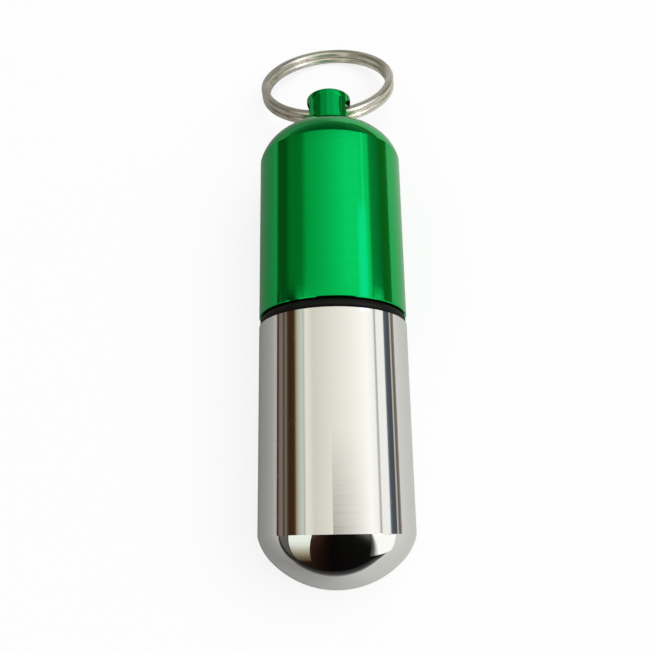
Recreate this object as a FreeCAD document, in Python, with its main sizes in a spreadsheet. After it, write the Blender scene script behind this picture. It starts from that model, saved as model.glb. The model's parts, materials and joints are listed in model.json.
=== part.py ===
import FreeCAD, Part
import math
import os

import Sketcher

# Pill fob keychain: a screw-capped aluminium capsule with a split ring through a boss on the cap.
# It lies on the table, z = 0, with the axis of the capsule along Y and the cap and the ring at +Y.
# Levels are distances along the capsule, measured from the vial's shoulder towards the cap.

# Sketcher's numbers for the points of an edge and for the two axes of a sketch.
START, END, MIDDLE = range(1, 4)
H_AXIS, V_AXIS = range(-1, -3, -1)

doc = FreeCAD.newDocument("pill_fob")
dims = doc.addObject("Spreadsheet::Sheet", "dims")

SIZES = [
    ("body_diameter", 25.0, "outside of the vial and of the cap"),
    ("vial_length", 34.1, "straight wall of the vial, shoulder to dome seam"),
    ("vial_dome_height", 8.1, "domed bottom, seam to apex"),
    ("vial_floor", 4.8, "metal left under the vial's bore, on the axis"),
    ("seal_gap", 1.6, "vial's shoulder to the cap's rim, when closed"),
    ("shoulder_width", 1.75, "step from the outside of the vial to its neck"),
    ("neck_length", 8.0, "threaded neck that enters the cap"),
    ("neck_wall", 2.0, "neck to the vial's bore"),
    ("neck_lead", 0.6, "chamfer on the neck's top edge"),
    ("thread_clearance", 0.2, "neck to the cap's mouth, radially"),
    ("seal_clearance", 0.05, "seal to its seat, all round its section"),
    ("cap_length", 29.1, "straight wall of the cap, rim to dome seam"),
    ("cap_dome_height", 8.0, "domed top, seam to crown"),
    ("cap_wall", 3.0, "outside of the cap to its bore"),
    ("cap_roof", 7.6, "metal left above the cap's bore, on the axis"),
    ("dome_edge_radius", 8.0, "arc of both domes next to their seams"),
    ("seam_angle", 14.0, "turn of the outline where a wall meets its dome"),
    ("mouth_relief", 0.8, "cap's mouth past the end of the neck"),
    ("rim_chamfer", 0.12, "edges that face each other across the seal"),
    ("bore_corner", 2.0, "radius at the closed end of both bores"),
    ("boss_diameter", 8.1, "boss on the crown of the cap"),
    ("boss_wall", 0.7, "metal above the cross hole"),
    ("boss_edge", 0.3, "rounding of the boss's top edge"),
    ("boss_foot", 0.4, "rounding where the boss meets the dome"),
    ("hole_foot", 0.3, "crown of the dome to the cross hole"),
    ("ring_diameter", 25.8, "outside of the split ring"),
    ("wire_width", 1.5, "flattened wire, across the ring's plane"),
    ("wire_thickness", 1.0, "flattened wire, along the ring's axis"),
    ("wire_corner", 0.3, "bevel of the wire's edges"),
    ("turn_gap", 0.42, "between the two turns of the wire"),
    ("ring_play", 0.1, "room left round the wire in the cross hole, at the least"),
    ("ring_push", 0.55, "lie of the ring towards the cap, off the middle of the hole"),
    ("ring_skew", 3.2, "lie of the ring to one side of the capsule's axis"),
    ("crossover_angle", 20.0, "stretch where the wire climbs from one turn to the other"),
    ("wire_end_angle", 2.0, "from each end of the wire to the crossover"),
]

DERIVED = [
    ("body_radius", "body_diameter / 2"),
    ("vial_seam", "-vial_length"),
    ("vial_top", "vial_seam - vial_dome_height"),
    ("vial_floor_level", "vial_top + vial_floor"),
    ("neck_radius", "body_radius - shoulder_width"),
    ("neck_top", "seal_gap + neck_length"),
    ("vial_bore_radius", "neck_radius - neck_wall"),
    ("mouth_radius", "neck_radius + thread_clearance"),
    ("mouth_end", "neck_top + mouth_relief"),
    ("cap_rim", "seal_gap"),
    ("cap_seam", "cap_rim + cap_length"),
    ("cap_top", "cap_seam + cap_dome_height"),
    ("cap_bore_radius", "body_radius - cap_wall"),
    ("cap_roof_level", "cap_top - cap_roof"),
    # A dome is an edge arc from its seam and a crown arc that carries on from it, over the axis.
    ("edge_middle_radius", "body_radius - dome_edge_radius * cos(seam_angle)"),
    ("edge_drop", "dome_edge_radius * sin(seam_angle)"),
    ("vial_edge_level", "vial_seam + edge_drop"),
    ("cap_edge_level", "cap_seam - edge_drop"),
    ("dome_spread", "edge_middle_radius^2 - dome_edge_radius^2"),
    ("vial_reach", "vial_dome_height + edge_drop"),
    ("cap_reach", "cap_dome_height + edge_drop"),
    ("vial_crown_radius", "(dome_spread + vial_reach^2) / (vial_reach - dome_edge_radius) / 2"),
    ("cap_crown_radius", "(dome_spread + cap_reach^2) / (cap_reach - dome_edge_radius) / 2"),
    ("seal_radius", "seal_gap / 2 - seal_clearance"),
    ("seal_middle_radius", "neck_radius + seal_clearance + seal_radius"),
    ("seal_level", "seal_gap / 2"),
    ("boss_radius", "boss_diameter / 2"),
    ("ring_middle_radius", "(ring_diameter - wire_width) / 2"),
    ("turn_rise", "wire_thickness + turn_gap"),
    ("ring_stack", "wire_thickness + turn_rise"),
    ("half_width", "wire_width / 2"),
    ("half_stack", "ring_stack / 2"),
    ("half_flat", "half_width - wire_corner"),
    ("half_side", "half_stack - wire_corner"),
    ("section_reach", "max(sqrt(half_width^2 + half_side^2); sqrt(half_flat^2 + half_stack^2))"),
    # The wire bows inside the straight hole, half to each side of its axis, and the ring is pushed in.
    ("wire_bow", "ring_middle_radius - sqrt(ring_middle_radius^2 - boss_radius^2)"),
    ("hole_radius", "section_reach + wire_bow / 2 + ring_push + ring_play"),
    ("hole_level", "cap_top + hole_foot + hole_radius"),
    ("boss_top", "hole_level + hole_radius + boss_wall"),
    ("ring_offset", "ring_middle_radius - wire_bow / 2 - ring_push"),
    # The ring hangs until the bevel on its far side lies on the table, on one edge or the other.
    ("ring_out", "ring_offset * cos(ring_skew) + ring_diameter / 2"),
    ("face_out", "ring_out - wire_corner"),
    ("side_hang", "asin(body_radius / sqrt(ring_out^2 + half_side^2)) - atan(half_side / ring_out)"),
    ("face_hang", "asin(body_radius / sqrt(face_out^2 + half_stack^2)) - atan(half_stack / face_out)"),
    ("ring_droop", "min(side_hang; face_hang)"),
    ("side_end", "ring_out * cos(ring_droop) + half_side * sin(ring_droop)"),
    ("face_end", "face_out * cos(ring_droop) + half_stack * sin(ring_droop)"),
    ("ring_end", "hole_level + max(side_end; face_end)"),
    # The middle of the whole length, the vial's dome to the ring's far edge, lies over the origin.
    ("shoulder_y", "-(vial_top + ring_end) / 2"),
    # The wire climbs from turn to turn inside the cross hole, which lies at -90 degrees of an unskewed ring.
    ("turn_start", "ring_skew - 90 + crossover_angle / 2"),
    ("turn_sweep", "360 - crossover_angle - wire_end_angle"),
]


def fill_sheet():
    row = 1
    for alias, size, note in SIZES:
        dims.set(f"A{row}", note)
        dims.set(f"B{row}", str(size))
        dims.setAlias(f"B{row}", alias)
        row += 1
    for alias, formula in DERIVED:
        dims.set(f"A{row}", "worked out")
        dims.set(f"B{row}", f"={formula}")
        dims.setAlias(f"B{row}", alias)
        row += 1
    doc.recompute()


def size_of(alias):
    found = dims.get(alias)
    return getattr(found, "Value", found)


def sheet(alias):
    """Formula for a size of the sheet, or None where there is none."""
    return f"dims.{alias}" if alias else None


def worked_out(formula):
    return dims.evalExpression(formula) if formula else 0


def bind(item, path, formula):
    """Tie one property of an object to the sheet."""
    item.setExpression(path, formula)


def new_body(name):
    body = doc.addObject("PartDesign::Body", name)
    body.Label = name
    return body


def lay_on_axis(item, level="0"):
    """Put an object's local Y axis on the capsule's axis, its origin at a level from the shoulder."""
    bind(item, "Placement.Base.y", f"dims.shoulder_y + {level}")
    bind(item, "Placement.Base.z", "dims.body_radius")


def new_sketch(body, name, role):
    plane = next(item for item in body.Origin.OriginFeatures if item.Role == role)
    sketch = body.newObject("Sketcher::SketchObject", name)
    sketch.AttachmentSupport = [(plane, "")]
    sketch.MapMode = "FlatFace"
    return sketch


def add_size(sketch, constraint, name, formula):
    """Add a dimension to a sketch and tie it to the sheet."""
    index = sketch.addConstraint(constraint)
    sketch.renameConstraint(index, name)
    bind(sketch, f"Constraints.{name}", formula)


def set_spot(sketch, edge, end, spot, name, across, along):
    """Fix one end of an edge, or its middle, by a formula for each direction, None on an axis."""
    if across:
        add_size(sketch, Sketcher.Constraint("DistanceX", edge, end, spot.x), f"{name}_across", across)
    else:
        sketch.addConstraint(Sketcher.Constraint("PointOnObject", edge, end, V_AXIS))
    if along:
        add_size(sketch, Sketcher.Constraint("DistanceY", edge, end, spot.y), f"{name}_along", along)
    else:
        sketch.addConstraint(Sketcher.Constraint("PointOnObject", edge, end, H_AXIS))


def draw_outline(sketch, corners):
    """Closed outline of straight edges. A corner is (across, along), each a formula, or None on an axis."""
    spots = [FreeCAD.Vector(worked_out(across), worked_out(along), 0) for across, along in corners]
    count = len(spots)
    for i, start in enumerate(spots):
        sketch.addGeometry(Part.LineSegment(start, spots[(i + 1) % count]))
    for i, (across, along) in enumerate(corners):
        sketch.addConstraint(Sketcher.Constraint("Coincident", i, END, (i + 1) % count, START))
        set_spot(sketch, i, START, spots[i], f"corner_{i}", across, along)


def turning_profile(body, name, corners):
    """Closed outline for turning about the V axis. A corner is (radius, level), each the name of a size,
    or None for the axis or the shoulder."""
    sketch = new_sketch(body, name, "XY_Plane")
    draw_outline(sketch, [(sheet(radius), sheet(level)) for radius, level in corners])
    return sketch


def dome_profile(body, half, side):
    """Outline of the dome of one half, for turning: the edge arc, the crown arc, the axis and the seam."""
    sketch = new_sketch(body, f"{half}_dome_outline", "XY_Plane")
    seam = FreeCAD.Vector(size_of("body_radius"), size_of(f"{half}_seam"), 0)
    top = FreeCAD.Vector(0, size_of(f"{half}_top"), 0)
    foot = FreeCAD.Vector(0, seam.y, 0)
    edge_middle = FreeCAD.Vector(size_of("edge_middle_radius"), size_of(f"{half}_edge_level"), 0)
    crown_middle = top - FreeCAD.Vector(0, side * size_of(f"{half}_crown_radius"), 0)
    outward = (edge_middle - crown_middle).normalize()
    joint = edge_middle + outward * size_of("dome_edge_radius")
    # Arcs run counter-clockwise, so a top's outline starts at its seam and a bottom's on the axis.
    if side > 0:
        edge = sketch.addGeometry(arc_about(edge_middle, seam, joint))
        crown = sketch.addGeometry(arc_about(crown_middle, joint, top))
        down = sketch.addGeometry(Part.LineSegment(top, foot))
        across = sketch.addGeometry(Part.LineSegment(foot, seam))
        order = [edge, crown, down, across]
    else:
        crown = sketch.addGeometry(arc_about(crown_middle, top, joint))
        edge = sketch.addGeometry(arc_about(edge_middle, joint, seam))
        across = sketch.addGeometry(Part.LineSegment(seam, foot))
        down = sketch.addGeometry(Part.LineSegment(foot, top))
        order = [crown, edge, across, down]
    for early, late in zip(order, order[1:] + order[:1]):
        kind = "Tangent" if early == order[0] else "Coincident"
        sketch.addConstraint(Sketcher.Constraint(kind, early, END, late, START))
    # Ends of the two lines, in the order that leads from the top down to the foot and out to the seam.
    first, last = (START, END) if side > 0 else (END, START)
    set_spot(sketch, down, first, top, "top", None, f"dims.{half}_top")
    set_spot(sketch, down, last, foot, "foot", None, f"dims.{half}_seam")
    set_spot(sketch, across, last, seam, "seam", "dims.body_radius", f"dims.{half}_seam")
    edge_level = f"dims.{half}_edge_level"
    set_spot(sketch, edge, MIDDLE, edge_middle, "edge", "dims.edge_middle_radius", edge_level)
    sketch.addConstraint(Sketcher.Constraint("PointOnObject", crown, MIDDLE, V_AXIS))
    return sketch


def arc_about(middle, start, end):
    """Counter-clockwise arc from start to end."""
    arms = [point - middle for point in (start, end)]
    angles = [math.atan2(arm.y, arm.x) for arm in arms]
    circle = Part.Circle(middle, FreeCAD.Vector(0, 0, 1), arms[0].Length)
    return Part.ArcOfCircle(circle, angles[0], angles[1])


def turned(body, kind, name, sketch, angle="360"):
    feature = body.newObject(f"PartDesign::{kind}", name)
    feature.Profile = sketch
    feature.ReferenceAxis = (sketch, ["V_Axis"])
    bind(feature, "Angle", angle)
    doc.recompute()
    return feature


def round_edges(feature, radius, level):
    """Names of the edges that run round the axis at a radius and a level."""
    near = 1e-4
    names = []
    for number, edge in enumerate(feature.Shape.Edges, start=1):
        if edge.Degenerated or not isinstance(edge.Curve, Part.Circle):
            continue
        off_level = abs(edge.Curve.Center.y - level)
        off_radius = abs(edge.Curve.Radius - size_of(radius))
        if off_level < near and off_radius < near:
            names.append(f"Edge{number}")
    return names


def ease(body, kind, name, edges, alias):
    """Fillet or chamfer the named edges of the body's last feature."""
    last = body.Tip
    feature = body.newObject(f"PartDesign::{kind}", name)
    feature.Base = (last, edges)
    bind(feature, "Radius" if kind == "Fillet" else "Size", f"dims.{alias}")
    doc.recompute()


def make_vial():
    """Polished half: domed bottom, straight wall, shoulder and neck turned outside, then bored."""
    body = new_body("vial")
    outside = turning_profile(
        body,
        "vial_outline",
        [
            (None, "vial_seam"),
            ("body_radius", "vial_seam"),
            ("body_radius", None),
            ("neck_radius", None),
            ("neck_radius", "neck_top"),
            (None, "neck_top"),
        ],
    )
    turned(body, "Revolution", "vial_outside", outside)
    turned(body, "Revolution", "vial_dome", dome_profile(body, "vial", -1))
    inside = turning_profile(
        body,
        "vial_bore_outline",
        [
            (None, "vial_floor_level"),
            ("vial_bore_radius", "vial_floor_level"),
            ("vial_bore_radius", "neck_top"),
            (None, "neck_top"),
        ],
    )
    bore = turned(body, "Groove", "vial_bore", inside)
    floor_edge = round_edges(bore, "vial_bore_radius", size_of("vial_floor_level"))
    ease(body, "Fillet", "vial_bore_corner", floor_edge, "bore_corner")
    ease(body, "Chamfer", "vial_rim", round_edges(body.Tip, "body_radius", 0), "rim_chamfer")
    neck_edge = round_edges(body.Tip, "neck_radius", size_of("neck_top"))
    ease(body, "Chamfer", "neck_lead_in", neck_edge, "neck_lead")
    lay_on_axis(body)
    return body


def make_seal():
    """Rubber ring round the foot of the neck, between the vial's shoulder and the cap's rim."""
    ring = doc.addObject("Part::Torus", "o_ring")
    ring.Label = "o_ring"
    bind(ring, "Radius1", "dims.seal_middle_radius")
    bind(ring, "Radius2", "dims.seal_radius")
    ring.Placement = FreeCAD.Placement(FreeCAD.Vector(), FreeCAD.Rotation(FreeCAD.Vector(1, 0, 0), -90))
    lay_on_axis(ring, "dims.seal_level")
    return ring


def make_cap():
    """Anodised half: straight wall, dome and boss turned from one bar, bored, then cross-drilled."""
    body = new_body("cap")
    outside = turning_profile(
        body,
        "cap_outline",
        [
            (None, "cap_rim"),
            ("body_radius", "cap_rim"),
            ("body_radius", "cap_seam"),
            (None, "cap_seam"),
        ],
    )
    turned(body, "Revolution", "cap_outside", outside)
    turned(body, "Revolution", "cap_dome", dome_profile(body, "cap", 1))
    boss = turning_profile(
        body,
        "boss_outline",
        [
            (None, "cap_seam"),
            ("boss_radius", "cap_seam"),
            ("boss_radius", "boss_top"),
            (None, "boss_top"),
        ],
    )
    turned(body, "Revolution", "cap_boss", boss)
    inside = turning_profile(
        body,
        "cap_bore_outline",
        [
            (None, "cap_rim"),
            ("mouth_radius", "cap_rim"),
            ("mouth_radius", "mouth_end"),
            ("cap_bore_radius", "mouth_end"),
            ("cap_bore_radius", "cap_roof_level"),
            (None, "cap_roof_level"),
        ],
    )
    bore = turned(body, "Groove", "cap_bore", inside)
    roof_edge = round_edges(bore, "cap_bore_radius", size_of("cap_roof_level"))
    ease(body, "Fillet", "cap_bore_corner", roof_edge, "bore_corner")
    rim_edge = round_edges(body.Tip, "body_radius", size_of("cap_rim"))
    ease(body, "Chamfer", "cap_rim_edge", rim_edge, "rim_chamfer")
    top_edge = round_edges(body.Tip, "boss_radius", size_of("boss_top"))
    ease(body, "Fillet", "boss_top_edge", top_edge, "boss_edge")
    foot_edge = round_edges(body.Tip, "boss_radius", boss_foot_level())
    ease(body, "Fillet", "boss_foot_corner", foot_edge, "boss_foot")
    cross_hole(body)
    lay_on_axis(body)
    return body


def boss_foot_level():
    """Level of the circle where the boss comes out of the dome."""
    crown = size_of("cap_crown_radius")
    return size_of("cap_top") - crown + math.sqrt(crown**2 - size_of("boss_radius") ** 2)


def cross_hole(body):
    """Hole right through the boss, along X, for the wire of the ring."""
    sketch = new_sketch(body, "cross_hole_outline", "YZ_Plane")
    middle = FreeCAD.Vector(size_of("hole_level"), 0, 0)
    sketch.addGeometry(Part.Circle(middle, FreeCAD.Vector(0, 0, 1), size_of("hole_radius")))
    set_spot(sketch, 0, MIDDLE, middle, "middle", "dims.hole_level", None)
    add_size(sketch, Sketcher.Constraint("Radius", 0, size_of("hole_radius")), "radius", "dims.hole_radius")
    hole = body.newObject("PartDesign::Pocket", "cross_hole")
    hole.Profile = sketch
    hole.Type = "ThroughAll"
    hole.SideType = "Symmetric"
    doc.recompute()


def wire_section(body, name, angle, height):
    """Section of the flattened wire, its edges bevelled, on a half-plane through the ring's axis."""
    sketch = new_sketch(body, name, "XZ_Plane")
    about_axis = FreeCAD.Rotation(FreeCAD.Vector(0, 1, 0), 1)
    sketch.AttachmentOffset = FreeCAD.Placement(FreeCAD.Vector(), about_axis)
    bind(sketch, "AttachmentOffset.Rotation.Angle", angle)
    middle = "dims.ring_middle_radius"
    half_thick = "dims.wire_thickness / 2"
    bevel = "dims.wire_corner"
    outer, inner = f"{middle} + dims.half_width", f"{middle} - dims.half_width"
    top, bottom = f"{height} + {half_thick}", f"{height} - {half_thick}"
    corners = [
        (outer, f"{bottom} + {bevel}"),
        (outer, f"{top} - {bevel}"),
        (f"{outer} - {bevel}", top),
        (f"{inner} + {bevel}", top),
        (inner, f"{top} - {bevel}"),
        (inner, f"{bottom} + {bevel}"),
        (f"{inner} + {bevel}", bottom),
        (f"{outer} - {bevel}", bottom),
    ]
    draw_outline(sketch, corners)
    doc.recompute()
    return sketch


def ease_in_out(share):
    """Height of the climbing wire, 0 to 1, at a share of the crossover: level at both ends."""
    return share * share * (3 - 2 * share)


def make_ring():
    """Flattened wire wound two turns: a level turn, a climb at the split, and a second level turn."""
    body = new_body("split_ring")
    low = "-dims.turn_rise / 2"
    high = "dims.turn_rise / 2"
    first = wire_section(body, "first_turn_section", "dims.turn_start + dims.wire_end_angle", low)
    turned(body, "Revolution", "first_turn", first, "dims.turn_sweep")
    steps = 6
    climb = []
    for step in range(steps + 1):
        share = step / steps
        angle = f"dims.turn_start + dims.crossover_angle * {share - 1}"
        height = f"dims.turn_rise * {ease_in_out(share) - 0.5}"
        climb.append(wire_section(body, f"climb_section_{step}", angle, height))
    loft = body.newObject("PartDesign::AdditiveLoft", "climb")
    loft.Profile = climb[0]
    loft.Sections = climb[1:]
    doc.recompute()
    second = wire_section(body, "second_turn_section", "dims.turn_start", high)
    turned(body, "Revolution", "second_turn", second, "dims.turn_sweep")
    hang = FreeCAD.Rotation(FreeCAD.Vector(1, 0, 0), -size_of("ring_droop"))
    body.Placement = FreeCAD.Placement(FreeCAD.Vector(), hang)
    bind(body, "Placement.Rotation.Angle", "-dims.ring_droop")
    out = "dims.ring_offset * cos(dims.ring_skew)"
    bind(body, "Placement.Base.x", "-dims.ring_offset * sin(dims.ring_skew)")
    bind(body, "Placement.Base.y", f"dims.shoulder_y + dims.hole_level + {out} * cos(dims.ring_droop)")
    bind(body, "Placement.Base.z", f"dims.body_radius - {out} * sin(dims.ring_droop)")
    return body


def least_gap_between_turns():
    """Least distance from the top of the wire to its underside a turn later, on points a degree apart."""
    crossover = size_of("crossover_angle")
    turn = 360
    inner = size_of("ring_middle_radius") - size_of("half_width")
    half = size_of("wire_thickness") / 2

    def point(sweep, side):
        share = min(max((sweep - turn + crossover) / crossover, 0), 1)
        height = size_of("turn_rise") * (ease_in_out(share) - 0.5) + side * half
        angle = math.radians(sweep)
        return FreeCAD.Vector(inner * math.cos(angle), inner * math.sin(angle), height)

    start = round(size_of("wire_end_angle"))
    end = turn + round(size_of("turn_sweep"))
    window = round(crossover)
    gaps = []
    for early in range(start, end + 1):
        over = point(early, 1)
        for late in range(early + turn - window, min(early + turn + window, end) + 1):
            gaps.append(over.distanceToPoint(point(late, -1)))
    return min(gaps)


def check_document(pieces):
    for item in doc.Objects:
        if "Invalid" in item.State or "Error" in item.State:
            raise RuntimeError(f"{item.Name} failed: {item.State}")
        cuts = item.isDerivedFrom("PartDesign::Groove") or item.isDerivedFrom("PartDesign::Pocket")
        if cuts and item.Shape.Volume >= item.BaseFeature.Shape.Volume:
            raise RuntimeError(f"{item.Name} cuts nothing")
    for piece in pieces:
        if piece.Shape.isNull() or not piece.Shape.isValid() or len(piece.Shape.Solids) != 1:
            raise RuntimeError(f"{piece.Label} is not one valid solid")


fill_sheet()
pieces = [make_vial(), make_seal(), make_cap(), make_ring()]
doc.recompute()
check_document(pieces)
print(f"least gap between the turns of the ring: {least_gap_between_turns():.3f} mm")
os.makedirs("parts", exist_ok=True)
for piece in pieces:
    piece.Shape.exportStep(os.path.join("parts", f"{piece.Label}.step"))
    print(f"{piece.Label}: {piece.Shape.Volume:.1f} mm3")
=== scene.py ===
import json
from math import atan2, ceil, cos, floor, hypot, pi, radians, sin, sqrt, tau

import bpy
from mathutils import Matrix, Vector


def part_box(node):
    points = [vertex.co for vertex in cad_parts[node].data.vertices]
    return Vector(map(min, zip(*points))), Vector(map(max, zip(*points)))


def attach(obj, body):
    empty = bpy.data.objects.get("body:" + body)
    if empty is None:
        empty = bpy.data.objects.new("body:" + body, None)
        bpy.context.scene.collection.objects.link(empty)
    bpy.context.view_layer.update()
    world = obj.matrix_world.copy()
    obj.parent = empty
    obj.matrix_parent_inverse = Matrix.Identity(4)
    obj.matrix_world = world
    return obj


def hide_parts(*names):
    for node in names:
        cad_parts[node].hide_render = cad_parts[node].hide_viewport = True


# Pill fob keychain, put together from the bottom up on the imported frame: the vial, the seal on its
# neck, the screw cap, and the split ring through the cap's boss. Sizes are in mm, meshes in metres, and
# a level is a place along the capsule's axis, counted from the vial's shoulder.
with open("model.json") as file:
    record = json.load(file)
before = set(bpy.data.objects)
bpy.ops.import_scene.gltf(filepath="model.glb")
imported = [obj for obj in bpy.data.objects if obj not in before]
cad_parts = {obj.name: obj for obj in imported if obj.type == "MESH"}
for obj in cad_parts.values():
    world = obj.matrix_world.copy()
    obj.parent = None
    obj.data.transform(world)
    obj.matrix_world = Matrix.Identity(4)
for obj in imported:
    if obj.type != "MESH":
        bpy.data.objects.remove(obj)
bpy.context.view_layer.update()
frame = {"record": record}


# Vial: the lower half of the holder, turned from one aluminium bar, bored out for the pills and polished
# to a mirror. Above its shoulder the neck has a plain seat for the seal and a right-hand thread for the cap.
MM = 0.001
VIAL_LOW, VIAL_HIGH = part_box("vial")
AXIS_HEIGHT = (VIAL_LOW.z + VIAL_HIGH.z) / 2 / MM
BODY_RADIUS = 12.5
NECK_TOP = 9.6
SHOULDER_Y = VIAL_HIGH.y / MM - NECK_TOP
VIAL_SEAM = -34.1
VIAL_DOME_HEIGHT = 8.1
DOME_EDGE_RADIUS = 8.0
SEAM_ANGLE = radians(14)
RIM_CHAMFER = 0.12
SEAT_RADIUS = 10.75
SEAT_TOP = 1.6
SEAT_RUNOUT = 0.5
NECK_CHAMFER = 0.3
VIAL_BORE_RADIUS = 8.75
VIAL_FLOOR = -37.4
BORE_CORNER = 2.0
BORE_CHAMFER = 0.2
THREAD_PITCH = 1.5
THREAD_CREST = 10.75
THREAD_ROOT = 9.9
THREAD_FLAT = 0.22
NECK_THREAD = (2.5, 9.05)
THREAD_FADE = 0.7
THREAD_STEPS = 16
DOME_STEPS = 22
CORNER_STEPS = 10
FACETS = 192
AROUND = [(i, (i + 1) % FACETS) for i in range(FACETS)]
TURNED_SHARP = radians(12)


def spot(radius, angle, level):
    """A point at a radius and an angle about the capsule's axis, at a level above the vial's shoulder."""
    return (radius * sin(angle) * MM, (SHOULDER_Y + level) * MM, (AXIS_HEIGHT + radius * cos(angle)) * MM)


class Turning:
    """A turned piece in the making: points, faces, each point's way along the profile, and its polish."""

    def __init__(self):
        self.points = []
        self.faces = []
        self.along = []
        self.polished = []
        self.polish = 1.0
        self.last = None
        self.last_place = None
        self.travelled = 0.0

    def add(self, point, along):
        """One more point, with its way along the profile and the polish in use; its number is returned."""
        self.points.append(point)
        self.along.append(along)
        self.polished.append(self.polish)
        return len(self.points) - 1

    def skin(self, lower, upper):
        """Faces between two circles of points."""
        for i, j in AROUND:
            self.faces.append((lower[i], lower[j], upper[j], upper[i]))

    def circle(self, radius, level, shape=None):
        """The next circle of the profile; shape gives the radius by angle where it isn't round."""
        if self.last_place:
            self.travelled += hypot(radius - self.last_place[0], level - self.last_place[1])
        ring = []
        for i in range(FACETS):
            angle = tau * i / FACETS
            here = shape(angle) if shape else radius
            ring.append(self.add(spot(here, angle, level), self.travelled))
        if self.last is not None:
            if len(self.last) == 1:
                for i, j in AROUND:
                    self.faces.append((self.last[0], ring[j], ring[i]))
            else:
                self.skin(self.last, ring)
        self.last, self.last_place = ring, (radius, level)
        return ring

    def pole(self, level):
        """A point on the axis, where the profile starts or ends."""
        if self.last_place:
            self.travelled += hypot(self.last_place[0], level - self.last_place[1])
        tip = self.add(spot(0, 0, level), self.travelled)
        if self.last is not None:
            for i, j in AROUND:
                self.faces.append((self.last[i], self.last[j], tip))
        self.last, self.last_place = [tip], (0.0, level)

    def follow(self, profile):
        """A run of circles, one for each radius and level of the profile."""
        for radius, level in profile:
            self.circle(radius, level)

    def piece(self, name, sharp):
        """The finished object, with two UV maps: turns round the axis by mm along the profile, and polish,
        which also places the cap's painted shade.
        """
        mesh = bpy.data.meshes.new(name)
        mesh.from_pydata(self.points, [], self.faces)
        chart = mesh.uv_layers.new(name="turned")
        reach = mesh.uv_layers.new(name="polish")
        for face in mesh.polygons:
            turns = []
            for v in face.vertices:
                x, _, z = self.points[v]
                turns.append(atan2(x, z - AXIS_HEIGHT * MM) / tau % 1.0)
            wrapped = max(turns) - min(turns) > 0.5
            for corner, v, turn in zip(face.loop_indices, face.vertices, turns):
                chart.data[corner].uv = (turn + 1.0 if wrapped and turn < 0.5 else turn, self.along[v])
                reach.data[corner].uv = (self.polished[v], 0.0)
        mesh.shade_smooth()
        mesh.set_sharp_from_angle(angle=sharp)
        made = bpy.data.objects.new(name, mesh)
        bpy.context.scene.collection.objects.link(made)
        return made


def arc(middle_radius, middle_level, radius, start, end, steps):
    """Points of the profile on an arc; angles are from the axis, so that 0 points along it."""
    turns = [start + (end - start) * k / steps for k in range(steps + 1)]
    return [(middle_radius + radius * sin(t), middle_level + radius * cos(t)) for t in turns]


def dome(height):
    """The crown's radius and its middle above the seam, the angle where it runs into the dome's edge arc,
    and the radius at which that arc has its middle."""
    edge_middle = BODY_RADIUS - DOME_EDGE_RADIUS * cos(SEAM_ANGLE)
    reach = height + DOME_EDGE_RADIUS * sin(SEAM_ANGLE)
    crown = (edge_middle ** 2 - DOME_EDGE_RADIUS ** 2 + reach ** 2) / (reach - DOME_EDGE_RADIUS) / 2
    meeting = atan2(edge_middle, crown - reach)
    return crown, height - crown, meeting, edge_middle


def thread_height(level, angle):
    """From 0 in the groove to 1 on the crest of the right-hand thread, with a flat on each."""
    phase = (level / THREAD_PITCH - angle / tau) % 1.0
    slope = min(max((abs(2 * phase - 1) - THREAD_FLAT) / (1 - 2 * THREAD_FLAT), 0.0), 1.0)
    return slope * slope * (3 - 2 * slope)


def thread_fade(level, ends):
    """From 0 at the thread's two ends to 1 where it is full."""
    return min(max(min(level - ends[0], ends[1] - level) / THREAD_FADE, 0.0), 1.0)


def thread_levels(ends):
    """Levels of the circles that carry a thread, from end to end."""
    count = round((ends[1] - ends[0]) / THREAD_PITCH * THREAD_STEPS)
    return [ends[0] + (ends[1] - ends[0]) * k / count for k in range(count + 1)]


turned_vial = Turning()
crown, crown_middle, meeting, edge_middle = dome(VIAL_DOME_HEIGHT)
turned_vial.pole(VIAL_SEAM - VIAL_DOME_HEIGHT)
crown_line = arc(0, VIAL_SEAM - crown_middle, crown, pi, pi - meeting, DOME_STEPS)
turned_vial.follow(crown_line[1:])
edge_level = VIAL_SEAM + DOME_EDGE_RADIUS * sin(SEAM_ANGLE)
edge_line = arc(edge_middle, edge_level, DOME_EDGE_RADIUS, pi - meeting, pi / 2 + SEAM_ANGLE, DOME_STEPS)
turned_vial.follow(edge_line[1:])
dome_length = turned_vial.travelled
turned_vial.follow([(BODY_RADIUS, -RIM_CHAMFER), (BODY_RADIUS - RIM_CHAMFER, 0.0)])
turned_vial.polish = 0.0
turned_vial.follow([(SEAT_RADIUS, 0.0), (SEAT_RADIUS, SEAT_TOP), (THREAD_ROOT, SEAT_TOP + SEAT_RUNOUT)])
for level in thread_levels(NECK_THREAD):
    full = (THREAD_CREST - THREAD_ROOT) * thread_fade(level, NECK_THREAD)
    turned_vial.circle(THREAD_ROOT, level, lambda a: THREAD_ROOT + full * thread_height(level, a))
turned_vial.follow([(THREAD_ROOT, NECK_TOP - NECK_CHAMFER), (THREAD_ROOT - NECK_CHAMFER, NECK_TOP),
                    (VIAL_BORE_RADIUS + BORE_CHAMFER, NECK_TOP), (VIAL_BORE_RADIUS, NECK_TOP - BORE_CHAMFER)])
turned_vial.follow(arc(VIAL_BORE_RADIUS - BORE_CORNER, VIAL_FLOOR + BORE_CORNER, BORE_CORNER, pi / 2, pi,
                       CORNER_STEPS))
turned_vial.pole(VIAL_FLOOR)
vial = turned_vial.piece("vial_body", TURNED_SHARP)


def place_node(tree, kind, inputs=None, **settings):
    """A shader node with its settings; each input named takes a value or another node's output."""
    node = tree.nodes.new("ShaderNode" + kind)
    for name, value in settings.items():
        setattr(node, name, value)
    for name, value in (inputs or {}).items():
        if isinstance(value, bpy.types.NodeSocket):
            tree.links.new(value, node.inputs[name])
        else:
            node.inputs[name].default_value = value
    return node


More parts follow.
